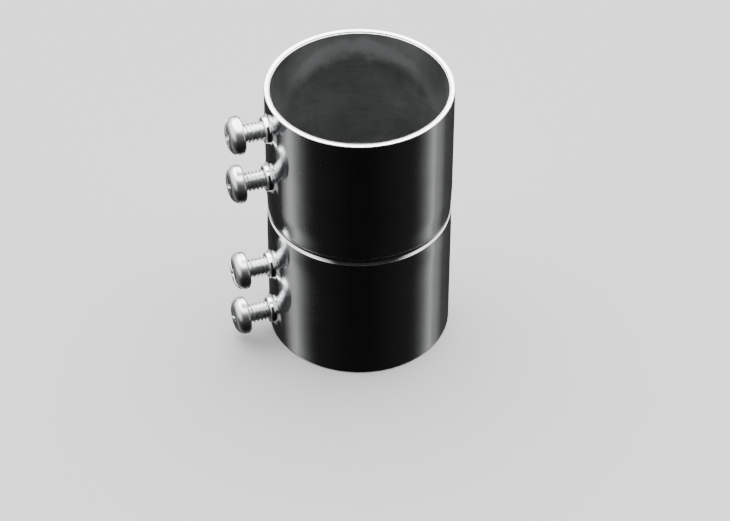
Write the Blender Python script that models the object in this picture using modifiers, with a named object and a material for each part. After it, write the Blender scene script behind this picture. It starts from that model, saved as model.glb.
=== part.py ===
"""Set-screw coupling for two-inch thin-wall steel conduit.

A straight steel sleeve joins two lengths of conduit end to end.  A groove
rolled round its middle raises a bead inside, which stops each conduit halfway.
Four tapped bosses are drawn outward in one line along the sleeve, two for
each socket, and each carries a pan-head screw that clamps the conduit.

Frame: metres, +Z along the sleeve from its lower rim, the origin on the
sleeve's axis in the plane of the lower rim, and the screw heads towards -X.
"""

from math import cos, pi, radians, sin, sqrt

import bmesh
import bpy
from mathutils import Matrix

# Sleeve
SLEEVE_OUTER_RADIUS = 0.0300
SLEEVE_WALL = 0.0018
SLEEVE_LENGTH = 0.0957
RIM_OUTER_ROUND = 0.00040
RIM_INNER_CHAMFER = 0.00025

# Rolled stop groove, just above halfway along the sleeve
GROOVE_LIFT = 0.0004
GROOVE_WIDTH = 0.0030
GROOVE_DEPTH = 0.00066
WAIST_WIDTH = 0.0190
WAIST_DEPTH = 0.00028
BEAD_WIDTH = 0.0050

# Drawn and tapped bosses
BOSS_FROM_RIM = 0.0097
BOSS_SPACING = 0.0197
BOSS_RISE = 0.0018
BOSS_COLLAR_RADIUS = 0.0044
BOSS_COLLAR_ROUND = 0.0004
BOSS_FLARE_RADIUS = 0.0022
BOSS_INNER_ROUND = 0.0010

# Screws: quarter-inch thread of twenty turns to the inch, pan head
THREAD_MAJOR_DIAMETER = 0.00635
THREAD_PITCH = 0.00127
THREAD_HALF_DEPTH = 0.00034
SCREW_LENGTH = 0.0105
SCREW_TIP_CHAMFER = 0.0006
HEAD_DIAMETER = 0.0124
HEAD_HEIGHT = 0.0048
HEAD_SIDE_HEIGHT = 0.0020
HEAD_FLAT_RADIUS = 0.0028
HEAD_EDGE_ROUND = 0.00095
SLOT_WIDTH = 0.0016
SLOT_DEPTH = 0.0017
CROSS_LENGTH = 0.0056
CROSS_DEPTH = 0.0023

# The thread is carried as plain cylinders: the shank stands for the crests
# worn to half depth, and the tapped bore clears it by the thread clearance.
SHANK_RADIUS = THREAD_MAJOR_DIAMETER / 2 - THREAD_HALF_DEPTH
THREAD_CLEARANCE = 0.0003

# Turns that each screw stands out from its head seating on the boss, and the
# angle of its slot about the screw's axis, from the top screw down.
SCREW_TURNS_OUT = (5.35, 5.51, 5.28, 5.51)
SLOT_ANGLES = (radians(43), radians(35), radians(60), radians(25))

ROUND_STEPS = 64
BOSS_STEPS = 24
SCREW_STEPS = 24
CREASE_ANGLE = radians(32)

# How far one form runs into another so that no two faces coincide
BURIED = 0.0012
ROOT_BURIED = 0.0004

ZINC_BODY = (0.46, 0.47, 0.48)
ZINC_SCREW = (0.56, 0.57, 0.58)


def clear_scene():
    for obj in list(bpy.data.objects):
        bpy.data.objects.remove(obj, do_unlink=True)


def new_collection(name):
    collection = bpy.data.collections.new(name)
    bpy.context.scene.collection.children.link(collection)
    return collection


def metal(name, colour, roughness):
    material = bpy.data.materials.new(name)
    material.use_nodes = True
    shader = material.node_tree.nodes["Principled BSDF"]
    shader.inputs["Base Color"].default_value = (*colour, 1.0)
    shader.inputs["Metallic"].default_value = 1.0
    shader.inputs["Roughness"].default_value = roughness
    return material


def arc(centre, radius, start, end, steps):
    """Points of a circular arc in a (radius, height) profile."""
    cx, cz = centre
    turn = (end - start) / steps
    return [
        (cx + radius * cos(start + turn * i), cz + radius * sin(start + turn * i))
        for i in range(steps + 1)
    ]


def turned(name, profile, steps, collection, closed):
    """A solid of revolution about the object's own Z axis."""
    mesh = bpy.data.meshes.new(name)
    shape = bmesh.new()
    points = [shape.verts.new((r, 0.0, z)) for r, z in profile]
    for first, second in zip(points, points[1:]):
        shape.edges.new((first, second))
    if closed:
        shape.edges.new((points[-1], points[0]))
    shape.to_mesh(mesh)
    shape.free()
    obj = bpy.data.objects.new(name, mesh)
    collection.objects.link(obj)
    screw = obj.modifiers.new("Revolve", "SCREW")
    screw.axis = "Z"
    screw.angle = 2 * pi
    screw.steps = steps
    screw.render_steps = steps
    screw.use_merge_vertices = not closed
    screw.merge_threshold = 0.00001
    return obj


def aim_outward(obj, height, distance, spin=0.0):
    """Stand the object's own +Z along world -X, on a boss axis."""
    outward = Matrix.Rotation(-pi / 2, 4, "Y") @ Matrix.Rotation(spin, 4, "Z")
    obj.matrix_world = Matrix.Translation((-distance, 0, height)) @ outward


def as_cutter(obj):
    obj.hide_render = True
    obj.display_type = "WIRE"
    return obj


def boolean(obj, other, operation):
    modifier = obj.modifiers.new(other.name, "BOOLEAN")
    modifier.operation = operation
    modifier.solver = "EXACT"
    modifier.object = other


def settle(obj):
    """Turn the modifiers into the object's own mesh, shaded smooth but for its edges."""
    bpy.context.view_layer.update()
    depsgraph = bpy.context.evaluated_depsgraph_get()
    mesh = bpy.data.meshes.new_from_object(obj.evaluated_get(depsgraph))
    obj.modifiers.clear()
    obj.data = mesh
    mesh.name = obj.name
    mesh.shade_smooth()
    mesh.set_sharp_from_angle(angle=CREASE_ANGLE)


def boss_heights():
    """Screw heights from the top down, the same from each rim."""
    low = (BOSS_FROM_RIM, BOSS_FROM_RIM + BOSS_SPACING)
    return [SLEEVE_LENGTH - low[0], SLEEVE_LENGTH - low[1], low[1], low[0]]


def bell(offset, width):
    """One at the middle of the width, falling smoothly to zero at its ends."""
    share = min(abs(offset) / (width / 2), 1.0)
    return 0.5 * (1 + cos(pi * share))


def rolled(offset):
    """Depth of the groove, a hollow arc between its two lips."""
    half = GROOVE_WIDTH / 2
    if abs(offset) >= half:
        return 0.0
    radius = (half * half + GROOVE_DEPTH * GROOVE_DEPTH) / (2 * GROOVE_DEPTH)
    return sqrt(radius * radius - offset * offset) - (radius - GROOVE_DEPTH)


def pressed_in(offset):
    """How far the outer wall is pressed in, at a height from the groove's middle."""
    return WAIST_DEPTH * bell(offset, WAIST_WIDTH) + rolled(offset)


def raised_inside(offset):
    """How far the inner wall stands in, at a height from the groove's middle."""
    waist = WAIST_DEPTH * bell(offset, WAIST_WIDTH)
    return waist + GROOVE_DEPTH * bell(offset, BEAD_WIDTH)


def sleeve_profile():
    """Outer side from the top rim down, then inner side back up."""
    outer = SLEEVE_OUTER_RADIUS
    inner = outer - SLEEVE_WALL
    middle = SLEEVE_LENGTH / 2 + GROOVE_LIFT
    rim = RIM_OUTER_ROUND
    waist = [WAIST_WIDTH / 2 * share for share in (1.0, 0.65, 0.35)]
    groove = [GROOVE_WIDTH / 2 * share for share in (1.0, 0.82, 0.54, 0.2)]
    offsets = waist + groove
    bead = waist[:2] + [BEAD_WIDTH / 2 * share for share in (1.0, 0.7, 0.35)]

    profile = arc((outer - rim, SLEEVE_LENGTH - rim), rim, pi / 2, 0, 2)
    profile += [(outer - pressed_in(dz), middle + dz) for dz in offsets]
    profile += [(outer - pressed_in(dz), middle - dz) for dz in reversed(offsets)]
    profile += arc((outer - rim, rim), rim, 0, -pi / 2, 2)
    profile += [(inner + RIM_INNER_CHAMFER, 0), (inner, RIM_INNER_CHAMFER)]
    profile += [(inner - raised_inside(dz), middle - dz) for dz in bead]
    profile += [(inner - raised_inside(0), middle)]
    profile += [(inner - raised_inside(dz), middle + dz) for dz in reversed(bead)]
    profile += [(inner, SLEEVE_LENGTH - RIM_INNER_CHAMFER)]
    profile += [(inner + RIM_INNER_CHAMFER, SLEEVE_LENGTH)]
    return profile


def boss_form(name, height, collection):
    """Collar and flare of one boss, rooted inside the sleeve's wall."""
    root = SLEEVE_OUTER_RADIUS - SLEEVE_WALL + ROOT_BURIED
    top = SLEEVE_OUTER_RADIUS + BOSS_RISE
    edge = BOSS_COLLAR_ROUND
    flare = BOSS_FLARE_RADIUS
    centre = (BOSS_COLLAR_RADIUS + flare, SLEEVE_OUTER_RADIUS - BURIED + flare)
    collar = (BOSS_COLLAR_RADIUS - edge, top - edge)
    profile = [(0, top)] + arc(collar, edge, pi / 2, 0, 2)
    profile += [p for p in arc(centre, flare, pi, 1.5 * pi, 5) if p[1] < top - 2 * edge]
    profile += [(centre[0], root), (0, root)]
    form = turned(name, profile, BOSS_STEPS, collection, closed=False)
    aim_outward(form, height, 0)
    return as_cutter(form)


def boss_bore(name, height, collection):
    """Tapped hole and the rounded dimple that drawing the boss leaves inside."""
    radius = SHANK_RADIUS + THREAD_CLEARANCE
    inner = SLEEVE_OUTER_RADIUS - SLEEVE_WALL
    top = SLEEVE_OUTER_RADIUS + BOSS_RISE + BURIED
    bend = BOSS_INNER_ROUND
    profile = [(0, top), (radius, top)]
    profile += arc((radius + bend, inner + bend), bend, pi, 1.5 * pi, 4)
    profile += [(radius + bend + BURIED, inner - 3 * BURIED), (0, inner - 3 * BURIED)]
    bore = turned(name, profile, BOSS_STEPS, collection, closed=False)
    aim_outward(bore, height, 0, spin=pi / BOSS_STEPS)
    return as_cutter(bore)


def build_sleeve(parts, cutters, material):
    sleeve = turned("sleeve", sleeve_profile(), ROUND_STEPS, parts, closed=True)
    for index, height in enumerate(boss_heights(), start=1):
        boolean(sleeve, boss_form(f"boss_form_{index}", height, cutters), "UNION")
    for index, height in enumerate(boss_heights(), start=1):
        boolean(sleeve, boss_bore(f"boss_bore_{index}", height, cutters), "DIFFERENCE")
    settle(sleeve)
    sleeve.data.materials.append(material)


def screw_profile():
    """Pan head and shank, from the crown down, with z = 0 under the head."""
    head = HEAD_DIAMETER / 2
    flat = HEAD_FLAT_RADIUS
    dome = HEAD_HEIGHT - HEAD_SIDE_HEIGHT
    edge = HEAD_EDGE_ROUND
    tip = SCREW_TIP_CHAMFER
    profile = [(0, HEAD_HEIGHT)]
    for angle in (90, 65, 40, 20, 0):
        across = flat + (head - flat) * cos(radians(angle))
        profile.append((across, HEAD_SIDE_HEIGHT + dome * sin(radians(angle))))
    profile += arc((head - edge, edge), edge, 0, -pi / 2, 3)
    profile += [(SHANK_RADIUS, 0), (SHANK_RADIUS, -SCREW_LENGTH + tip)]
    profile += [(SHANK_RADIUS - tip, -SCREW_LENGTH), (0, -SCREW_LENGTH)]
    return profile


def recess_cutter(name, size, depth, angle, place, collection):
    """A box that cuts one bar of the driver recess into a screw's crown."""
    mesh = bpy.data.meshes.new(name)
    shape = bmesh.new()
    bmesh.ops.create_cube(shape, size=1.0)
    bmesh.ops.scale(shape, vec=(size[0], size[1], 2 * depth), verts=shape.verts)
    shape.to_mesh(mesh)
    shape.free()
    cutter = bpy.data.objects.new(name, mesh)
    collection.objects.link(cutter)
    at_crown = Matrix.Translation((0, 0, HEAD_HEIGHT)) @ Matrix.Rotation(angle, 4, "Z")
    cutter.matrix_world = place @ at_crown
    return as_cutter(cutter)


def build_screw(index, height, turns_out, slot_angle, parts, cutters, material):
    """One screw, its origin under its head on its own axis."""
    seat = SLEEVE_OUTER_RADIUS + BOSS_RISE
    screw = turned(f"set_screw_{index}", screw_profile(), SCREW_STEPS, parts, closed=False)
    aim_outward(screw, height, seat + turns_out * THREAD_PITCH)
    place = screw.matrix_world.copy()
    slot = (HEAD_DIAMETER + 2 * BURIED, SLOT_WIDTH)
    cross = (SLOT_WIDTH, CROSS_LENGTH)
    for part, size, depth in (("slot", slot, SLOT_DEPTH), ("cross", cross, CROSS_DEPTH)):
        name = f"{part}_cutter_{index}"
        cutter = recess_cutter(name, size, depth, slot_angle, place, cutters)
        boolean(screw, cutter, "DIFFERENCE")
    settle(screw)
    screw.data.materials.append(material)


def main():
    clear_scene()
    parts = new_collection("conduit_coupling")
    cutters = new_collection("cutters")
    body_metal = metal("zinc_plated_sleeve", ZINC_BODY, 0.32)
    screw_metal = metal("zinc_plated_screw", ZINC_SCREW, 0.28)
    build_sleeve(parts, cutters, body_metal)
    screws = zip(boss_heights(), SCREW_TURNS_OUT, SLOT_ANGLES)
    for index, (height, turns_out, slot_angle) in enumerate(screws, start=1):
        build_screw(index, height, turns_out, slot_angle, parts, cutters, screw_metal)


main()
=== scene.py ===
"""Looks of the set-screw conduit coupling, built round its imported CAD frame.

The sleeve is one mesh: a revolved wall, with a patch of rings and spokes for
each drawn boss that runs down the collar, through the tapped hole and out over
the inner wall.  The four screws share one mesh, each turned to its own angle.
"""
from math import atan2, cos, hypot, pi, radians, sin, sqrt

import bmesh
import bpy
from mathutils import Matrix, Vector, noise


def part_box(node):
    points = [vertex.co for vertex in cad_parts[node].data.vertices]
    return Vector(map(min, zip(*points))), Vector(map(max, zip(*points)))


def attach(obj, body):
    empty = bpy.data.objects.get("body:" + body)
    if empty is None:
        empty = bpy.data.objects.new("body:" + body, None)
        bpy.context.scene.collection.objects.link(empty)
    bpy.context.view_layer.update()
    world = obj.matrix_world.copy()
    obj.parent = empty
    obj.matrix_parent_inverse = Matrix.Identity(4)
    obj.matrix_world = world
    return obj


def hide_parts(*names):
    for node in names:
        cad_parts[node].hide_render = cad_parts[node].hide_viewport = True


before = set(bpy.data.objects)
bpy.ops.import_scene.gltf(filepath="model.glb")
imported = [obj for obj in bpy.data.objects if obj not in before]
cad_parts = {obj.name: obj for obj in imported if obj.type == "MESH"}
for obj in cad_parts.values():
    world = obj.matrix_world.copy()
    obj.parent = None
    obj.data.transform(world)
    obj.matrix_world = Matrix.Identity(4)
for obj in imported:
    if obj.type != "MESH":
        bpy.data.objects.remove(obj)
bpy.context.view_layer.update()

MM = 0.001

# ---------------------------------------------------------------- sizes
SLEEVE_LOW, SLEEVE_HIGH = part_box("sleeve")
OUTER = SLEEVE_HIGH.y
LENGTH = SLEEVE_HIGH.z
MIDDLE = LENGTH / 2
WALL = 1.8 * MM
INNER = OUTER - WALL
AROUND_STEPS = 132

RIM_ROUND = 0.40 * MM
RIM_ROUND_STEPS = 4
RIM_LEDGE = 0.26 * MM
# The rim's broken inner edge, as (outwards, down) in shares of RIM_LEDGE.
RIM_LEDGE_SHAPE = ((1, 0), (0.9, 0.12), (0.8, 1.8), (0.7, 2.0), (0.22, 2.14), (0.06, 2.24), (0, 2.5))

UNEVEN_HEIGHT = 0.024 * MM
UNEVEN_SIZE = 14 * MM

GROOVE_AT = MIDDLE + 0.4 * MM
GROOVE_WIDTH = 3.0 * MM
GROOVE_DEPTH = 0.66 * MM
WAIST_WIDTH = 19.0 * MM
WAIST_DEPTH = 0.28 * MM
BEAD_WIDTH = 5.0 * MM
# Rows of the wall beside the groove: shares of the way out to the boss cells,
# then shares of the groove's half width, close together at its lips.
APPROACH_ROWS = (0.88, 0.76, 0.64, 0.52, 0.41, 0.31, 0.25)
GROOVE_ROWS = (1.35, 1.2, 1.1, 1.04, 1.0, 0.975, 0.93, 0.86, 0.76, 0.64, 0.5, 0.34, 0.17)

SCREW_NODES = ("set_screw_1", "set_screw_2", "set_screw_3", "set_screw_4")
SCREW_BODIES = ("screw_1", "screw_2", "screw_3", "screw_4")
SCREW_SPINS = (radians(43), radians(35), radians(60), radians(25))

BOSS_TOP = -SLEEVE_LOW.x
COLLAR_RADIUS = 4.4 * MM
COLLAR_EDGE = 0.45 * MM
COLLAR_FILLET = 1.1 * MM
SWELL_RADIUS = 8.9 * MM
SWELL_HEIGHT = 0.14 * MM
INNER_SWELL = 0.8
FUNNEL_ROUND = 1.0 * MM
MOUTH_PLAY = 0.22 * MM
MOUTH_BREAK = 0.25 * MM
MOUTH_DROP = 0.03 * MM
TAPPED_ROWS = 22
TAPPED_RUN_OUT = 0.12

CELL_HALF_WIDTH = 9.5 * MM
CELL_HALF_HEIGHT = 9.0 * MM
CELL_SEGMENTS = 16
CELL_ANGLE = CELL_HALF_WIDTH / OUTER
SPOKES = range(4 * CELL_SEGMENTS)
ROUND_REGION = 7.4 * MM
# A boss stands on flat ground near its axis.  Between these distances from the axis
# the ground eases into the round wall, and its width into the wall's own.
GROUND_EASE = (4.0 * MM, 7.0 * MM)
WIDTH_EASE = (4.6 * MM, 8.2 * MM)
# Rings round a boss: shares of the way from the round region to the cell's edge,
# radii of the flare's rings, and how far out of the bore the inner mouth's rings lie,
# both in millimetres and closest together where the curve is tightest.
CELL_SHARES = (1, 0.75, 0.5, 0.25)
COLLAR_RINGS = (7.4, 7.0, 6.6, 6.2, 5.85, 5.6, 5.35, 5.1, 4.88, 4.7, 4.56, 4.46)
FUNNEL_RINGS = (0.03, 0.12, 0.27, 0.46, 0.70, 1.0, 1.5, 2.1, 2.8, 3.5)

PITCH = 1.27 * MM
THREAD_MAJOR = 3.13 * MM
THREAD_DEPTH = 0.52 * MM
THREAD_ROOT = THREAD_MAJOR - THREAD_DEPTH
THREAD_PLAY = 0.06 * MM
BORE = THREAD_MAJOR + THREAD_PLAY
# Half the crest and one flank, as shares of the pitch, and how round they are.
CREST_HALF = 0.05
FLANK = 0.34
THREAD_ROUNDING = 0.7

SHANK_LENGTH = 10.5 * MM
SHANK_STEPS = 48
SHANK_ROWS_PER_PITCH = 12
SHANK_BURIED = 0.5 * MM
NECK_END = 0.15 * MM
# Below the head, between these distances, the thread grows out of the neck.
THREAD_START = (0.2 * MM, 1.0 * MM)
TIP_DEPTH = 1.15
TIP_DROP = 0.12 * MM
TIP_SHARE = 0.8

HEAD_HEIGHT = 4.8 * MM
HEAD_SIDE = 2.0 * MM
HEAD_FLAT = 2.8 * MM
HEAD_EDGE = 0.95 * MM
HEAD_STEPS = 96
CROWN_STEPS = 12
EDGE_STEPS = 6
CROWN_DROP = 0.01 * MM
DOME_DROP = 0.03 * MM
HEAD_INSET = 0.02 * MM
SLOT_WIDTH = 1.5 * MM
SLOT_DEPTH = 1.7 * MM
SLOT_REACH = 2.2
SLOT_DRAFT = 0.06
CROSS_LENGTH = 5.6 * MM
CROSS_WIDTH = 1.35 * MM
CROSS_DEPTH = 2.4 * MM
CROSS_DRAFT = 0.16
CROSS_POINT = 0.45
CUTTER_TOP = 1.0 * MM
REMESH_SIZE = 0.10 * MM
SOFTEN_ROUNDS = 3
THIN_OUT_TO = 0.28
SHARP_EDGE = radians(50)

SAME_PLACE = 0.002 * MM
PARTS = {"outer": 0, "inner": 1, "rim": 2, "thread": 3}


def smooth(low, high, value):
    """0 below low, 1 above high, and an easy slope between."""
    share = min(max((value - low) / (high - low), 0.0), 1.0)
    return share * share * (3 - 2 * share)


def mix(first, second, share):
    return first + (second - first) * share


def unevenness(point):
    """A slow unevenness of the metal, inwards only, the same on each run."""
    return UNEVEN_HEIGHT * (noise.noise(Vector(point) / UNEVEN_SIZE) - 1) / 2


def outward(around):
    """The way out of the wall, at an angle from the boss line towards +Y."""
    return Vector((-cos(around), sin(around), 0))


def linked_object(name, mesh):
    made = bpy.data.objects.new(name, mesh)
    bpy.context.scene.collection.objects.link(made)
    return made


def mesh_from(shape, name):
    """The mesh that a bmesh holds, which is freed."""
    mesh = bpy.data.meshes.new(name)
    shape.to_mesh(mesh)
    shape.free()
    return mesh


# ---------------------------------------------------------------- sleeve wall
def bell(offset, width):
    share = min(abs(offset) / (width / 2), 1.0)
    return 0.5 * (1 + cos(pi * share))


def rolled(offset):
    """Depth of the rolled groove, an arc between its two lips."""
    half = GROOVE_WIDTH / 2
    arc = (half * half + GROOVE_DEPTH * GROOVE_DEPTH) / (2 * GROOVE_DEPTH)
    if abs(offset) >= half:
        return 0.0
    return sqrt(arc * arc - offset * offset) - (arc - GROOVE_DEPTH)


def wall_radius(z, inside):
    """The wall's radius, pressed in by the shallow waist and by the groove or its bead."""
    offset = z - GROOVE_AT
    waist = WAIST_DEPTH * bell(offset, WAIST_WIDTH)
    if inside:
        return INNER - (waist + GROOVE_DEPTH * bell(offset, BEAD_WIDTH))
    return OUTER - (waist + rolled(offset))


def wall_point(around, z, radius):
    """A point on the wall: around is the angle from the boss line, towards +Y."""
    point = Vector((-radius * cos(around), radius * sin(around), z))
    return point + outward(around) * unevenness(point)


def boss_heights():
    """Heights of the screws' axes, from the top down, read from the frame."""
    boxes = [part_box(name) for name in SCREW_NODES]
    return [(low.z + high.z) / 2 for low, high in boxes]


def rows_between(low, high, count):
    return [low + (high - low) * i / count for i in range(count)]


def wall_rows():
    """Heights of the wall's rows from bottom to top, with the boss cells' own rows."""
    heights = sorted(boss_heights())
    half = CELL_HALF_HEIGHT
    rows = [RIM_ROUND]
    rows += rows_between(heights[0] - half, heights[0] + half, CELL_SEGMENTS)
    rows += [heights[0] + half, (heights[0] + heights[1]) / 2]
    rows += rows_between(heights[1] - half, heights[1] + half, CELL_SEGMENTS)
    rows += [heights[1] + half]
    reach = heights[2] - half - GROOVE_AT
    offsets = [reach * share for share in APPROACH_ROWS]
    offsets += [GROOVE_WIDTH / 2 * share for share in GROOVE_ROWS]
    rows_at_groove = [GROOVE_AT - offset for offset in offsets] + [GROOVE_AT]
    rows_at_groove += [GROOVE_AT + offset for offset in reversed(offsets)]
    return rows + rows_at_groove + [LENGTH - z for z in reversed(rows)]


def wall_section():
    """The wall's closed section, as (radius, height, part) from the top outer row round."""
    rows = wall_rows()
    turns = [pi / 2 * step / RIM_ROUND_STEPS for step in range(1, RIM_ROUND_STEPS + 1)]
    edge = [(OUTER - RIM_ROUND * (1 - cos(turn)), RIM_ROUND * (1 - sin(turn))) for turn in turns]
    ledge = [(INNER + out * RIM_LEDGE, down * RIM_LEDGE) for out, down in RIM_LEDGE_SHAPE]
    section = [(wall_radius(z, False), z, "outer") for z in reversed(rows)]
    section += [(radius, z, "rim") for radius, z in edge + ledge]
    section += [(wall_radius(z, True), z, "inner") for z in rows[1:-1]]
    section += [(radius, LENGTH - z, "rim") for radius, z in reversed(edge + ledge)]
    return section


def in_a_cell(first, second):
    """Whether the stretch of wall between two section points belongs to a boss cell."""
    if first[2] != second[2] or first[2] == "rim":
        return False
    height = (first[1] + second[1]) / 2
    return any(abs(height - boss) < CELL_HALF_HEIGHT for boss in boss_heights())


def add_quads(shape, first, second, part):
    """A strip of faces between two rows of points."""
    for i in range(len(first) - 1):
        face = shape.faces.new((first[i], first[i + 1], second[i + 1], second[i]))
        face.material_index = PARTS[part]
        face.smooth = True


def add_wall(shape):
    section = wall_section()
    across = [CELL_ANGLE * (2 * i / CELL_SEGMENTS - 1) for i in range(CELL_SEGMENTS + 1)]
    turn = (2 * pi - 2 * CELL_ANGLE) / AROUND_STEPS
    round_the_back = [CELL_ANGLE + turn * i for i in range(AROUND_STEPS + 1)]
    for angles, keep_cells in ((across, False), (round_the_back, True)):
        rows = [[shape.verts.new(wall_point(a, z, r)) for a in angles] for r, z, _ in section]
        for i, row in enumerate(rows):
            j = (i + 1) % len(rows)
            if not keep_cells and in_a_cell(section[i], section[j]):
                continue
            part = section[i][2] if section[i][2] == section[j][2] else "rim"
            add_quads(shape, row, rows[j], part)


# ---------------------------------------------------------------- drawn bosses
def swell(radius):
    """The soft rise of the wall towards a boss."""
    share = min(radius / SWELL_RADIUS, 1.0)
    return SWELL_HEIGHT * (1 - share * share) ** 2


def fillet(radius, start, size):
    """Extra height of a hollow quarter round that ends upright at the radius start."""
    share = min(max(start + size - radius, 0.0) / size, 1.0)
    return size * (1 - sqrt(1 - share * share))


def rise(radius, inside):
    """Height over the wall at a distance from a boss's axis."""
    if inside:
        return swell(radius) * INNER_SWELL + fillet(radius, BORE, FUNNEL_ROUND)
    return swell(radius) + fillet(radius, COLLAR_RADIUS, COLLAR_FILLET)


def cell_edge(spoke):
    """Where a spoke meets its cell's edge, as (along the wall, up)."""
    side, step = divmod(spoke, CELL_SEGMENTS)
    share = 2 * step / CELL_SEGMENTS - 1
    return (
        (CELL_HALF_WIDTH, CELL_HALF_HEIGHT * share),
        (-CELL_HALF_WIDTH * share, CELL_HALF_HEIGHT),
        (-CELL_HALF_WIDTH, -CELL_HALF_HEIGHT * share),
        (CELL_HALF_WIDTH * share, -CELL_HALF_HEIGHT),
    )[side]


def spoke_angle(spoke):
    return 2 * pi * spoke / len(SPOKES) - pi / 4


def cell_point(spoke, radius, to_edge, height, inside):
    """A point over the wall near a boss, at a radius and then a share of the way to the edge."""
    angle = spoke_angle(spoke)
    along, up = radius * cos(angle), radius * sin(angle)
    if to_edge > 0:
        edge = cell_edge(spoke)
        along, up = mix(along, edge[0], to_edge), mix(up, edge[1], to_edge)
    distance = hypot(along, up)
    z = height + up
    wall = wall_radius(z, inside)
    curved = smooth(*WIDTH_EASE, distance)
    y = mix(along, wall * sin(along / OUTER), curved)
    on_wall = sqrt(wall * wall - y * y)
    ground = mix(wall, on_wall, smooth(*GROUND_EASE, distance))
    point = Vector((-(ground + rise(distance, inside)), y, z))
    if curved >= 1.0 or to_edge > 0:
        return point + outward(atan2(y, on_wall)) * unevenness((-on_wall, y, z))
    return point + outward(0) * unevenness((-wall, y, z))


def thread_radius(phase):
    """Radius of the screw's thread, where phase 0 is the crest and one half the root."""
    away = abs((phase + 0.5) % 1.0 - 0.5)
    down = min(max((away - CREST_HALF) / FLANK, 0.0), 1.0)
    return THREAD_MAJOR - THREAD_DEPTH * mix(down, smooth(0, 1, down), THREAD_ROUNDING)


def wall_ring(height, radius, to_edge, inside):
    return [cell_point(spoke, radius, to_edge, height, inside) for spoke in SPOKES]


def axis_ring(height, distance, radius_at):
    """A ring about a screw's axis, at a distance from the sleeve's axis."""
    ring = []
    for spoke in SPOKES:
        angle = spoke_angle(spoke)
        radius = radius_at(angle)
        ring.append(Vector((-distance, radius * cos(angle), height + radius * sin(angle))))
    return ring


def plain_ring(height, distance, radius):
    return axis_ring(height, distance, lambda angle: radius)


def tapped_ring(height, distance, seat, spin, plain):
    """A ring of the screw's own thread with play, or, where plain is 1, of a plain bore."""

    def radius_at(angle):
        turned = (pi / 2 - angle - spin) / (2 * pi)
        phase = (distance - seat) / PITCH - turned
        return mix(thread_radius(phase) + THREAD_PLAY, BORE, plain)

    return axis_ring(height, distance, radius_at)


def collar_rings(height):
    """From the cell's outer edge up the flare and the collar, and in over its rounded top."""
    rings = [("outer", wall_ring(height, ROUND_REGION, share, False)) for share in CELL_SHARES]
    rings += [("outer", wall_ring(height, radius * MM, 0, False)) for radius in COLLAR_RINGS]
    foot = OUTER + swell(COLLAR_RADIUS) + COLLAR_FILLET
    for distance in (foot, BOSS_TOP - COLLAR_EDGE):
        rings.append(("outer", plain_ring(height, distance, COLLAR_RADIUS)))
    for turn in (pi / 6, pi / 3, pi / 2):
        back, down = COLLAR_EDGE * (1 - cos(turn)), COLLAR_EDGE * (1 - sin(turn))
        rings.append(("rim", plain_ring(height, BOSS_TOP - down, COLLAR_RADIUS - back)))
    mouth = BORE + MOUTH_PLAY
    rings.append(("rim", plain_ring(height, BOSS_TOP, mouth + MOUTH_BREAK)))
    rings.append(("rim", plain_ring(height, BOSS_TOP - MOUTH_DROP, mouth)))
    return rings


def tapped_rings(height, seat, spin):
    """Down the tapped hole, whose thread runs out at both ends."""
    first, last = BOSS_TOP - MOUTH_BREAK, INNER + swell(BORE) * INNER_SWELL + FUNNEL_ROUND
    rings = []
    for row in range(TAPPED_ROWS + 1):
        way = row / TAPPED_ROWS
        plain = 1 - smooth(0, TAPPED_RUN_OUT, way) * smooth(1, 1 - TAPPED_RUN_OUT, way)
        distance = mix(first, last, way)
        rings.append(("thread", tapped_ring(height, distance, seat, spin, plain)))
    return rings


def funnel_rings(height):
    """Out of the hole's rounded inner mouth to the cell's inner edge."""
    rings = [("inner", wall_ring(height, BORE + out * MM, 0, True)) for out in FUNNEL_RINGS]
    shares = (0, *reversed(CELL_SHARES))
    return rings + [("inner", wall_ring(height, ROUND_REGION, share, True)) for share in shares]


def add_boss(shape, height, seat, spin):
    """Rings from the outer cell edge over the boss, down its hole and out inside."""
    rings = collar_rings(height) + tapped_rings(height, seat, spin) + funnel_rings(height)
    made = [[shape.verts.new(point) for point in ring] for _, ring in rings]
    for i in range(len(made) - 1):
        add_quads(shape, made[i] + made[i][:1], made[i + 1] + made[i + 1][:1], rings[i + 1][0])


def build_sleeve(places, materials):
    shape = bmesh.new()
    add_wall(shape)
    for height, seat, spin in places:
        add_boss(shape, height, seat, spin)
    bmesh.ops.remove_doubles(shape, verts=shape.verts, dist=SAME_PLACE)
    bmesh.ops.recalc_face_normals(shape, faces=shape.faces)
    mesh = mesh_from(shape, "sleeve_metal")
    sleeve = linked_object("sleeve_metal", mesh)
    for material in materials:
        mesh.materials.append(material)
    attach(sleeve, "sleeve")
    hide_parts("sleeve")


# ---------------------------------------------------------------- screws
def revolved(name, profile, steps):
    """A closed solid of revolution about Z from a profile that starts and ends on it."""
    shape = bmesh.new()
    rings = []
    for radius, z in profile:
        if radius == 0:
            rings.append([shape.verts.new((0, 0, z))])
            continue
        turn = 2 * pi / steps
        points = [(radius * cos(turn * i), radius * sin(turn * i), z) for i in range(steps)]
        rings.append([shape.verts.new(point) for point in points])
    for upper, lower in zip(rings, rings[1:]):
        for i in range(steps):
            j = (i + 1) % steps
            if len(upper) == 1:
                shape.faces.new((upper[0], lower[i], lower[j]))
            elif len(lower) == 1:
                shape.faces.new((upper[i], lower[0], upper[j]))
            else:
                shape.faces.new((upper[i], lower[i], lower[j], upper[j]))
    bmesh.ops.recalc_face_normals(shape, faces=shape.faces)
    return linked_object(name, mesh_from(shape, name))


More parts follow.
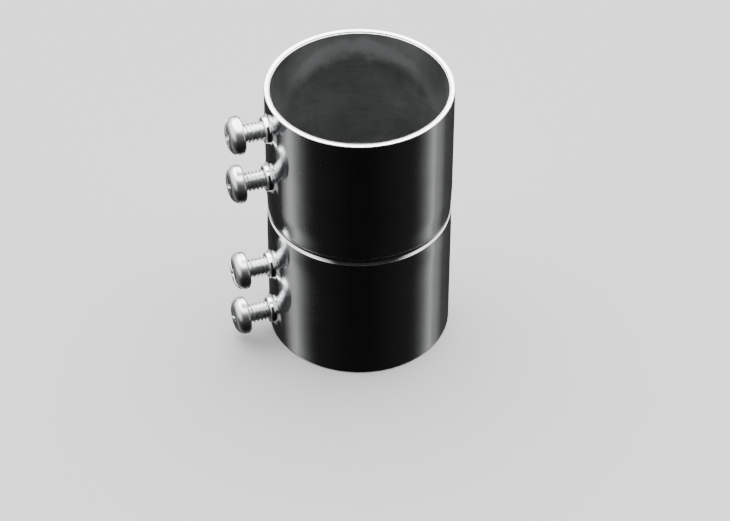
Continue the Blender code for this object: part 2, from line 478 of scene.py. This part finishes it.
def head_profile(radius):
    """Pan head from the middle of its crown down to the middle of its underside."""
    dome = HEAD_HEIGHT - HEAD_SIDE
    profile = [(0, HEAD_HEIGHT), (HEAD_FLAT * 0.5, HEAD_HEIGHT - CROWN_DROP)]
    for step in range(CROWN_STEPS + 1):
        turn = pi / 2 * (1 - step / CROWN_STEPS)
        across = HEAD_FLAT + (radius - HEAD_FLAT) * cos(turn)
        profile.append((across, HEAD_SIDE + dome * sin(turn) - DOME_DROP))
    for step in range(EDGE_STEPS + 1):
        turn = pi / 2 * step / EDGE_STEPS
        profile.append((radius - HEAD_EDGE * (1 - cos(turn)), HEAD_EDGE * (1 - sin(turn))))
    profile.append((0, 0))
    return profile


def wedge(name, width, length, depth, draft, point_share):
    """A recess cutter: a bar whose walls lean in, standing over the crown."""
    shape = bmesh.new()
    bmesh.ops.create_cube(shape, size=1.0)
    for vert in shape.verts:
        up = vert.co.z > 0
        lean = 1.0 + draft * CUTTER_TOP / depth if up else 1.0 - draft
        short = 1.0 + (1 - point_share) * CUTTER_TOP / depth if up else point_share
        vert.co.x *= length * short
        vert.co.y *= width * lean
        vert.co.z = CUTTER_TOP if up else -depth
    return linked_object(name, mesh_from(shape, name))


def combine(obj, other, operation):
    modifier = obj.modifiers.new(other.name, "BOOLEAN")
    modifier.operation = operation
    modifier.solver = "EXACT"
    modifier.object = other


def evaluated_mesh(obj):
    bpy.context.view_layer.update()
    depsgraph = bpy.context.evaluated_depsgraph_get()
    return bpy.data.meshes.new_from_object(obj.evaluated_get(depsgraph))


def head_mesh(radius):
    """The head with its combination recess, its edges softened as by cold forming."""
    head = revolved("head_form", head_profile(radius), HEAD_STEPS)
    slot = wedge("slot_form", SLOT_WIDTH, SLOT_REACH * radius, SLOT_DEPTH, SLOT_DRAFT, 1.0)
    arm = (CROSS_WIDTH, CROSS_LENGTH, CROSS_DEPTH, CROSS_DRAFT, CROSS_POINT)
    cross = wedge("cross_form", *arm)
    cross.rotation_euler.z = pi / 2
    along = wedge("along_form", *arm)
    for cutter in (slot, cross, along):
        cutter.location.z = HEAD_HEIGHT
        combine(head, cutter, "DIFFERENCE")
    remesh = head.modifiers.new("Cold formed", "REMESH")
    remesh.mode = "VOXEL"
    remesh.voxel_size = REMESH_SIZE
    soften = head.modifiers.new("Soften", "SMOOTH")
    soften.factor = 0.5
    soften.iterations = SOFTEN_ROUNDS
    thin = head.modifiers.new("Thin out", "DECIMATE")
    thin.ratio = THIN_OUT_TO
    mesh = evaluated_mesh(head)
    for form in (head, slot, cross, along):
        bpy.data.objects.remove(form, do_unlink=True)
    return mesh


def shank_radius(z, phase):
    """The neck under the head, the thread, and its blunted start at the tip."""
    run_out = smooth(-THREAD_START[0], -THREAD_START[1], z)
    lead_in = smooth(-SHANK_LENGTH, -SHANK_LENGTH + PITCH, z)
    full = mix(THREAD_ROOT, thread_radius(phase), run_out)
    blunt = THREAD_MAJOR - THREAD_DEPTH * TIP_DEPTH
    return mix(min(full, blunt), full, lead_in)


def shank_mesh():
    """The threaded shank, closed at both ends, its top buried in the head."""
    count = int(SHANK_LENGTH / PITCH * SHANK_ROWS_PER_PITCH)
    heights = [SHANK_BURIED, -NECK_END] + [-SHANK_LENGTH * i / count for i in range(1, count + 1)]
    angles = [2 * pi * i / SHANK_STEPS for i in range(SHANK_STEPS)]
    shape = bmesh.new()
    rings = []
    for z in heights:
        radii = [shank_radius(z, z / PITCH - angle / (2 * pi)) for angle in angles]
        points = [(r * cos(angle), r * sin(angle), z) for r, angle in zip(radii, angles)]
        rings.append([shape.verts.new(point) for point in points])
    tip = [(v.co.x * TIP_SHARE, v.co.y * TIP_SHARE, v.co.z - TIP_DROP) for v in rings[-1]]
    rings.append([shape.verts.new(point) for point in tip])
    for upper, lower in zip(rings, rings[1:]):
        for i in range(SHANK_STEPS):
            j = (i + 1) % SHANK_STEPS
            shape.faces.new((upper[i], lower[i], lower[j], upper[j]))
    shape.faces.new(rings[0])
    shape.faces.new(list(reversed(rings[-1])))
    bmesh.ops.recalc_face_normals(shape, faces=shape.faces)
    return mesh_from(shape, "shank_form")


def screw_mesh(radius, material):
    """Head and shank as one closed mesh, with its origin under the head."""
    shank = linked_object("shank_form", shank_mesh())
    head = linked_object("screw_form", head_mesh(radius))
    combine(head, shank, "UNION")
    mesh = evaluated_mesh(head)
    for form in (shank, head):
        bpy.data.objects.remove(form, do_unlink=True)
    mesh.name = "set_screw_metal"
    mesh.shade_smooth()
    mesh.set_sharp_from_angle(angle=SHARP_EDGE)
    mesh.materials.clear()
    mesh.materials.append(material)
    return mesh


def screw_places():
    """Height, distance of the head's underside from the axis, and turn of each screw."""
    places = []
    for name, height, spin in zip(SCREW_NODES, boss_heights(), SCREW_SPINS):
        crown = -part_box(name)[0].x
        places.append((height, crown - HEAD_HEIGHT, spin))
    return places


def build_screws(places, material):
    low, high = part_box(SCREW_NODES[0])
    mesh = screw_mesh((high.y - low.y) / 2 - HEAD_INSET, material)
    for name, body, (height, seat, spin) in zip(SCREW_NODES, SCREW_BODIES, places):
        screw = linked_object(f"{name}_metal", mesh)
        turned = Matrix.Rotation(-pi / 2, 4, "Y") @ Matrix.Rotation(spin, 4, "Z")
        screw.matrix_world = Matrix.Translation((-seat, 0, height)) @ turned
        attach(screw, body)
        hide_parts(name)


# ---------------------------------------------------------------- node helpers
class Nodes:
    """Small helpers for building one material's or world's node tree."""

    def __init__(self, tree):
        self.tree = tree

    def join(self, value, socket):
        """Link a value that another node makes, or set a plain one."""
        if isinstance(value, bpy.types.NodeSocket):
            self.tree.links.new(value, socket)
        else:
            socket.default_value = value

    def add(self, kind, sockets=None, **settings):
        made = self.tree.nodes.new(kind)
        for name, value in settings.items():
            setattr(made, name, value)
        for key, value in (sockets or {}).items():
            self.join(value, made.inputs[key])
        return made

    def math(self, operation, first, second=0.0, clamp=False):
        sockets = {0: first, 1: second}
        return self.add("ShaderNodeMath", sockets, operation=operation, use_clamp=clamp).outputs[0]

    def product(self, first, *factors):
        for factor in factors:
            first = self.math("MULTIPLY", first, factor)
        return first

    def total(self, first, *others):
        for other in others:
            first = self.math("ADD", first, other)
        return first

    def vector_math(self, operation, first, second=(0.0, 0.0, 0.0)):
        return self.add("ShaderNodeVectorMath", {0: first, 1: second}, operation=operation).outputs

    def ramp(self, value, low, high, out_low=0.0, out_high=1.0, soft=False):
        kind = "SMOOTHSTEP" if soft else "LINEAR"
        sockets = {0: value, 1: low, 2: high, 3: out_low, 4: out_high}
        return self.add("ShaderNodeMapRange", sockets, interpolation_type=kind).outputs[0]

    def fade(self, value, low, high):
        """1 below low and 0 above high."""
        return self.ramp(value, low, high, 1.0, 0.0)

    def eased(self, power, value, low, high, out_low=0.0, out_high=1.0):
        return self.math("POWER", self.ramp(value, low, high, out_low, out_high), power)

    def blend(self, share, first, second):
        made = self.add("ShaderNodeMix", data_type="RGBA")
        for index, value in ((0, share), (6, first), (7, second)):
            self.join(value, made.inputs[index])
        return made.outputs[2]

    def stretched(self, coordinates, scale):
        sockets = {"Vector": coordinates, "Scale": scale}
        return self.add("ShaderNodeMapping", sockets, vector_type="POINT").outputs[0]

    def height_of(self, place):
        return self.add("ShaderNodeSeparateXYZ", {"Vector": place}).outputs[2]

    def clouds(self, coordinates, scale, detail, roughness, w=0.0):
        sockets = {"Vector": coordinates, "Scale": scale, "Detail": detail}
        sockets.update({"Roughness": roughness, "W": w})
        return self.add("ShaderNodeTexNoise", sockets, noise_dimensions="4D").outputs["Fac"]

    def specks(self, coordinates, scale, size, rarity):
        """Sparse small dots: 1 in a dot, 0 between."""
        sockets = {"Vector": coordinates, "Scale": scale, "Randomness": 1.0}
        cells = self.add("ShaderNodeTexVoronoi", sockets)
        dot = self.ramp(cells.outputs["Distance"], size * 0.5, size, 1.0, 0.0)
        few = self.math("GREATER_THAN", cells.outputs["Color"], rarity)
        return self.math("MULTIPLY", dot, few)


# ---------------------------------------------------------------- materials
# The range of values that most of a noise lies in.
CLOUD_RANGE = (0.3, 0.7)
HAZE_SCALE = 90.0
GRAIN_SCALE = 2600.0
DRAWN_SCALE = (1400.0, 1400.0, 45.0)
MARK_SCALE = (170.0, 170.0, 2400.0)
SPECK_SCALE = 900.0
SPECK_SIZE = 0.22
SPECK_RARITY = 0.72
SPECK_LIGHT = 1.35
RELIEF_HEIGHT = 0.04 * MM
# Painted highlight on convex edges: the pointiness over which it grows, and its grey.
EDGE_HIGHLIGHT = (0.505, 0.56)
EDGE_HIGHLIGHT_GREY = 0.82
OBJECT_SHIFT = 7.0

# The inner wall's painted shade, by height: darker upwards, and more so near the mouth.
MARKS = (0.555, 0.65, 0.0, 0.5)
SHADE_UPWARDS = (LENGTH * 0.3, LENGTH * 0.8, 0.08, 0.26)
SHADE_NEAR_MOUTH = (LENGTH * 0.8, LENGTH * 0.97, 0.0, 0.42)
SHADE_GREY = 0.02

# Painted light inside the mouth: a lighter arch on the inner wall, reaching deepest towards one side.
LIT_SIDE = radians(-18)
LIT_GREY = 0.60
LIT_SLOPE = 21 * MM
LIT_RAGGED = 1.8 * MM
LIT_RAGGED_SCALE = 160.0
LIT_FROM = (LENGTH - 12.2 * MM, LENGTH - 6.2 * MM)
LIT_FADE = (LENGTH - 4.5 * MM, LENGTH - 1.5 * MM, 1.0, 0.6)
LIT_WEIGHT = (0.48, 0.90, 0.08, 1.0)


def grey(value):
    """A grey with the faint blue of zinc."""
    return (value * 0.985, value, value * 1.012, 1.0)


def painted_light_zone(tree, place):
    """Painted light inside the mouth, reaching deepest on one side: 1 in the lit zone, 0 below it."""
    far = (-sin(LIT_SIDE), cos(LIT_SIDE), 0.0)
    flat = tree.vector_math("MULTIPLY", place, (1.0, 1.0, 0.0))[0]
    unit = tree.vector_math("NORMALIZE", flat)[0]
    facing = tree.vector_math("DOT_PRODUCT", unit, far)["Value"]
    drop = tree.math("MULTIPLY", tree.math("SUBTRACT", 1.0, facing), LIT_SLOPE)
    clouds = tree.clouds(place, LIT_RAGGED_SCALE, 4.0, 0.6)
    ragged = tree.ramp(clouds, *CLOUD_RANGE, -LIT_RAGGED, LIT_RAGGED)
    level = tree.total(tree.height_of(place), drop, ragged)
    zone = tree.ramp(level, *LIT_FROM, soft=True)
    upper = tree.ramp(level, *LIT_FADE, soft=True)
    weight = tree.ramp(facing, *LIT_WEIGHT, soft=True)
    return tree.product(zone, upper, weight)


def mouth_colour(tree, place, colour, dark, mouth):
    """The inner wall: dark marks round it, painted shade that darkens it towards the mouth, and a
    painted light zone.
    """
    marks = tree.clouds(tree.stretched(place, MARK_SCALE), 1.0, 3.0, 0.6)
    colour = tree.blend(tree.ramp(marks, *MARKS), colour, grey(dark * 0.6))
    height = tree.height_of(place)
    # Painted shade: darker upwards and most near the mouth, countering the light that falls in through
    # it.
    painted_shade = tree.math("ADD", tree.ramp(height, *SHADE_UPWARDS), tree.ramp(height, *SHADE_NEAR_MOUTH))
    colour = tree.blend(painted_shade, colour, grey(SHADE_GREY))
    # Painted light: a lighter arch below the mouth, where light through the opening falls on the inner
    # wall.
    zone = tree.math("MULTIPLY", painted_light_zone(tree, place), mouth)
    return tree.blend(zone, colour, grey(LIT_GREY))


def zinc(name, light, dark, rough, rough_spread, drawn=0.0, bump=0.04, specks=0.35, edge=0.0, mouth=0.0):
    """Zinc plating: cloudy greys, faint lines and small specks, with a painted highlight on convex
    edges, and painted shade and light on the inner wall.
    """
    material = bpy.data.materials.new(name)
    material.use_nodes = True
    tree = Nodes(material.node_tree)
    shader = material.node_tree.nodes["Principled BSDF"].inputs
    shader["Metallic"].default_value = 1.0
    random = tree.add("ShaderNodeObjectInfo").outputs["Random"]
    shift = tree.math("MULTIPLY", random, OBJECT_SHIFT)
    place = tree.add("ShaderNodeTexCoord").outputs["Object"]

    haze = tree.clouds(place, HAZE_SCALE, 5.0, 0.6, shift)
    grain = tree.clouds(place, GRAIN_SCALE, 3.0, 0.65, shift)
    lines = tree.clouds(tree.stretched(place, DRAWN_SCALE), 1.0, 3.0, 0.6, shift)
    dots = tree.specks(place, SPECK_SCALE, SPECK_SIZE, SPECK_RARITY)

    hazy, grainy = tree.ramp(haze, *CLOUD_RANGE), tree.ramp(grain, *CLOUD_RANGE, -0.25, 0.25)
    tone = tree.math("ADD", hazy, grainy, clamp=True)
    colour = tree.blend(tone, grey(dark), grey(light))
    bright = grey(min(light * SPECK_LIGHT, 0.9))
    colour = tree.blend(tree.math("MULTIPLY", dots, specks), colour, bright)
    # The inner wall: its marks, with painted shade and a painted light zone.
    if mouth:
        colour = mouth_colour(tree, place, colour, dark, mouth)
    pointed = tree.add("ShaderNodeNewGeometry").outputs["Pointiness"]
    # Painted highlight: convex edges lightened, standing in for the glint along their rounding.
    colour = tree.blend(tree.ramp(pointed, *EDGE_HIGHLIGHT, 0.0, edge), colour, grey(EDGE_HIGHLIGHT_GREY))
    tree.join(colour, shader["Base Color"])

    roughness = tree.ramp(haze, 0.25, 0.75, rough - rough_spread, rough + rough_spread)
    dotted, lined = tree.math("MULTIPLY", dots, 0.15), tree.ramp(lines, *CLOUD_RANGE, -0.03, 0.03)
    tree.join(tree.total(roughness, dotted, lined), shader["Roughness"])

    relief = tree.math("ADD", tree.math("MULTIPLY", grain, 0.5), tree.math("MULTIPLY", lines, drawn))
    relief = tree.math("SUBTRACT", relief, tree.math("MULTIPLY", dots, 0.8))
    bumps = {"Strength": bump, "Distance": RELIEF_HEIGHT, "Height": relief}
    tree.join(tree.add("ShaderNodeBump", bumps).outputs["Normal"], shader["Normal"])
    return material


# ---------------------------------------------------------------- stage
CAMERA_AZIMUTH = radians(-18.52)
CAMERA_ELEVATION = radians(41.80)
CAMERA_ROLL = radians(-0.24)
CAMERA_DISTANCE = 0.8856
CAMERA_RIGHT = 0.00194
CAMERA_DOWN = 0.01880
CAMERA_LENS = 134.7
CAMERA_SENSOR = 36.0
CAMERA_CLIP = (0.01, 50.0)

FLOOR_HALF = 6.0
FLOOR_GREY = 0.26

# The overhead light's strength, its direction, which leans a little away from the
# camera, and its rim, as the cosine of the angle from that direction.
OVERHEAD = 11.5
OVERHEAD_WAY = (0.0, 0.309, 0.951)
OVERHEAD_RIM = (0.60, 0.78)

# The other lights fade between two angles in degrees, and some from one strength
# to another.  The angles are aside from the camera's side, or elevations.
HORIZON = (-6.0, 2.0)

# Below the horizon. The left panel's edges lean and step back with the elevation.
LOW_PANEL = 0.54
LOW_LEFT_IN, LOW_LEFT_IN_POWER = (51.0, 91.0), 3.1
LOW_LEFT_OUT, LOW_LEFT_OUT_POWER = (98.0, 114.0), 1.3
LOW_LEFT_LEAN = (-47.4, -35.4, 5.0, -5.0)
LOW_LEFT_STEP_BACK = (-43.2, -42.6, 9.0, 0.0)
LOW_RIGHT_IN, LOW_RIGHT_IN_POWER = (60.0, 104.0), 3.4
LOW_RIGHT_OUT = ((103.0, 110.0, 0.50, 0.0), (114.0, 131.0, 0.42, 0.0), (138.0, 152.0, 0.08, 0.0))
LOW_FRONT, LOW_FRONT_POWER = (12.0, 66.0, 0.079, 0.13), 2.0
LOW_BACK = ((98.0, 116.0, 0.0, 0.012), (138.0, 154.0, 0.0, 0.026))

# Above the horizon.
HIGH_PANEL = 2.7
HIGH_LEFT_IN, HIGH_LEFT_OUT = (26.0, 62.0), (118.0, 136.0)
HIGH_RIGHT_IN, HIGH_RIGHT_OUT = (44.0, 76.0), (130.0, 150.0)
HIGH_TOP = (45.0, 62.0)
HIGH_REST = (60.0, 150.0, 0.03, 0.45)

# The tall light behind at the left: across, and its lower and upper stretches.
TALL_IN, TALL_OUT = (120.0, 134.0), (164.0, 174.0)
TALL_STRETCHES = ((-50.0, -56.0, 0.0, 0.35), (-33.0, -18.0, 0.0, 1.0))
TALL_TOP = (30.0, 45.0)


def add_camera():
    a, e = CAMERA_AZIMUTH, CAMERA_ELEVATION
    back = Vector((sin(a) * cos(e), -cos(a) * cos(e), sin(e)))
    right = Vector((cos(a), sin(a), 0))
    up = back.cross(right)
    place = Vector((0, 0, MIDDLE)) + back * CAMERA_DISTANCE + right * CAMERA_RIGHT - up * CAMERA_DOWN
    level = Matrix((right, up, back)).transposed()
    turned = level @ Matrix.Rotation(-CAMERA_ROLL, 3, "Z")
    camera = linked_object("camera", bpy.data.cameras.new("camera"))
    camera.data.lens = CAMERA_LENS
    camera.data.sensor_width = CAMERA_SENSOR
    camera.data.clip_start, camera.data.clip_end = CAMERA_CLIP
    camera.matrix_world = Matrix.Translation(place) @ turned.to_4x4()
    bpy.context.scene.camera = camera


def add_floor():
    """A plain pale floor, which the glossy metal doesn't mirror."""
    shape = bmesh.new()
    bmesh.ops.create_grid(shape, x_segments=1, y_segments=1, size=FLOOR_HALF)
    mesh = mesh_from(shape, "floor")
    floor = linked_object("floor", mesh)
    floor.visible_glossy = False
    material = bpy.data.materials.new("pale_floor")
    material.use_nodes = True
    shader = material.node_tree.nodes["Principled BSDF"].inputs
    shader["Base Color"].default_value = (FLOOR_GREY, FLOOR_GREY, FLOOR_GREY, 1)
    shader["Roughness"].default_value = 0.9
    shader["Specular IOR Level"].default_value = 0.1
    mesh.materials.append(material)


class Sky:
    """A direction's angles in degrees, where aside is the angle from the camera's side."""

    def __init__(self, tree):
        straight = tree.add("ShaderNodeTexCoord").outputs["Generated"]
        sockets = {"Vector": straight, "Angle": -CAMERA_AZIMUTH}
        turned = tree.add("ShaderNodeVectorRotate", sockets, rotation_type="Z_AXIS").outputs[0]
        x, y, z = tree.add("ShaderNodeSeparateXYZ", {"Vector": turned}).outputs
        azimuth = tree.math("ARCTAN2", x, tree.math("MULTIPLY", y, -1.0))
        azimuth = tree.math("MULTIPLY", azimuth, 180 / pi)
        self.way = turned
        self.elevation = tree.math("MULTIPLY", tree.math("ARCSINE", z), 180 / pi)
        self.aside = tree.math("ABSOLUTE", azimuth)
        self.to_left = tree.math("LESS_THAN", azimuth, 0.0)
        self.to_right = tree.math("GREATER_THAN", azimuth, 0.0)
        self.below = tree.fade(self.elevation, *HORIZON)
        self.raised = tree.math("SUBTRACT", 1.0, self.below)


def ramps(tree, value, fades):
    return tree.total(*(tree.ramp(value, *fade) for fade in fades))


def low_lights(tree, sky):
    """What the wall mirrors from below: side panels round a dark front, and a faint back."""
    aside = sky.aside
    leaning = tree.math("ADD", aside, tree.ramp(sky.elevation, *LOW_LEFT_LEAN))
    stepped = tree.math("ADD", aside, tree.ramp(sky.elevation, *LOW_LEFT_STEP_BACK))
    left_in = tree.eased(LOW_LEFT_IN_POWER, leaning, *LOW_LEFT_IN)
    left_out = tree.eased(LOW_LEFT_OUT_POWER, stepped, *LOW_LEFT_OUT, 1.0, 0.0)
    left = tree.product(sky.to_left, left_in, left_out)
    right_in = tree.eased(LOW_RIGHT_IN_POWER, aside, *LOW_RIGHT_IN)
    right = tree.product(sky.to_right, right_in, ramps(tree, aside, LOW_RIGHT_OUT))
    panels = tree.product(sky.below, LOW_PANEL, tree.math("ADD", left, right))
    front = tree.product(sky.below, tree.eased(LOW_FRONT_POWER, aside, *LOW_FRONT))
    back = tree.product(sky.below, ramps(tree, aside, LOW_BACK))
    return panels, front, back


def high_lights(tree, sky):
    """Soft panels at both sides, and a weak light that grows towards the back."""
    aside = sky.aside
    left_in, left_out = tree.ramp(aside, *HIGH_LEFT_IN, soft=True), tree.fade(aside, *HIGH_LEFT_OUT)
    right_in, right_out = tree.ramp(aside, *HIGH_RIGHT_IN, soft=True), tree.fade(aside, *HIGH_RIGHT_OUT)
    left = tree.product(sky.to_left, left_in, left_out)
    right = tree.product(sky.to_right, right_in, right_out)
    top = tree.fade(sky.elevation, *HIGH_TOP)
    panels = tree.product(sky.raised, HIGH_PANEL, tree.math("ADD", left, right), top)
    rest = tree.product(sky.raised, tree.ramp(aside, *HIGH_REST))
    return panels, rest


def tall_light(tree, sky):
    """A tall light behind at the left, broken by a dark gap."""
    across = tree.product(
        sky.to_left, tree.ramp(sky.aside, *TALL_IN), tree.fade(sky.aside, *TALL_OUT)
    )
    stretches = ramps(tree, sky.elevation, TALL_STRETCHES)
    return tree.product(across, stretches, tree.fade(sky.elevation, *TALL_TOP))


def add_studio():
    """Soft light from both sides, above and behind, and a dark front below."""
    world = bpy.data.worlds.new("studio")
    world.use_nodes = True
    bpy.context.scene.world = world
    tree = Nodes(world.node_tree)
    sky = Sky(tree)
    lean = tree.vector_math("DOT_PRODUCT", sky.way, OVERHEAD_WAY)["Value"]
    overhead = tree.ramp(lean, *OVERHEAD_RIM, 0.0, OVERHEAD, soft=True)
    lights = (*low_lights(tree, sky), *high_lights(tree, sky), tall_light(tree, sky))
    background = world.node_tree.nodes["Background"].inputs
    tree.join(tree.total(overhead, *lights), background["Strength"])
    background["Color"].default_value = (1.0, 1.0, 1.0, 1.0)


def main():
    add_camera()
    add_floor()
    add_studio()
    places = screw_places()
    outer = zinc("zinc_outer", 0.78, 0.68, 0.125, 0.025, drawn=0.5, specks=0.12)
    # The inner wall's material carries painted shade and painted light; mouth sets the painted light's
    # strength.
    inner = zinc("zinc_inner", 0.42, 0.33, 0.50, 0.06, drawn=0.2, bump=0.08, specks=0.4, mouth=0.75)
    rim = zinc("zinc_cut_rim", 0.90, 0.78, 0.34, 0.05, bump=0.10)
    thread = zinc("zinc_tapped", 0.50, 0.36, 0.36, 0.05, bump=0.08)
    build_sleeve(places, (outer, inner, rim, thread))
    build_screws(places, zinc("zinc_screw", 0.68, 0.52, 0.31, 0.05, bump=0.10, edge=0.3))


main()
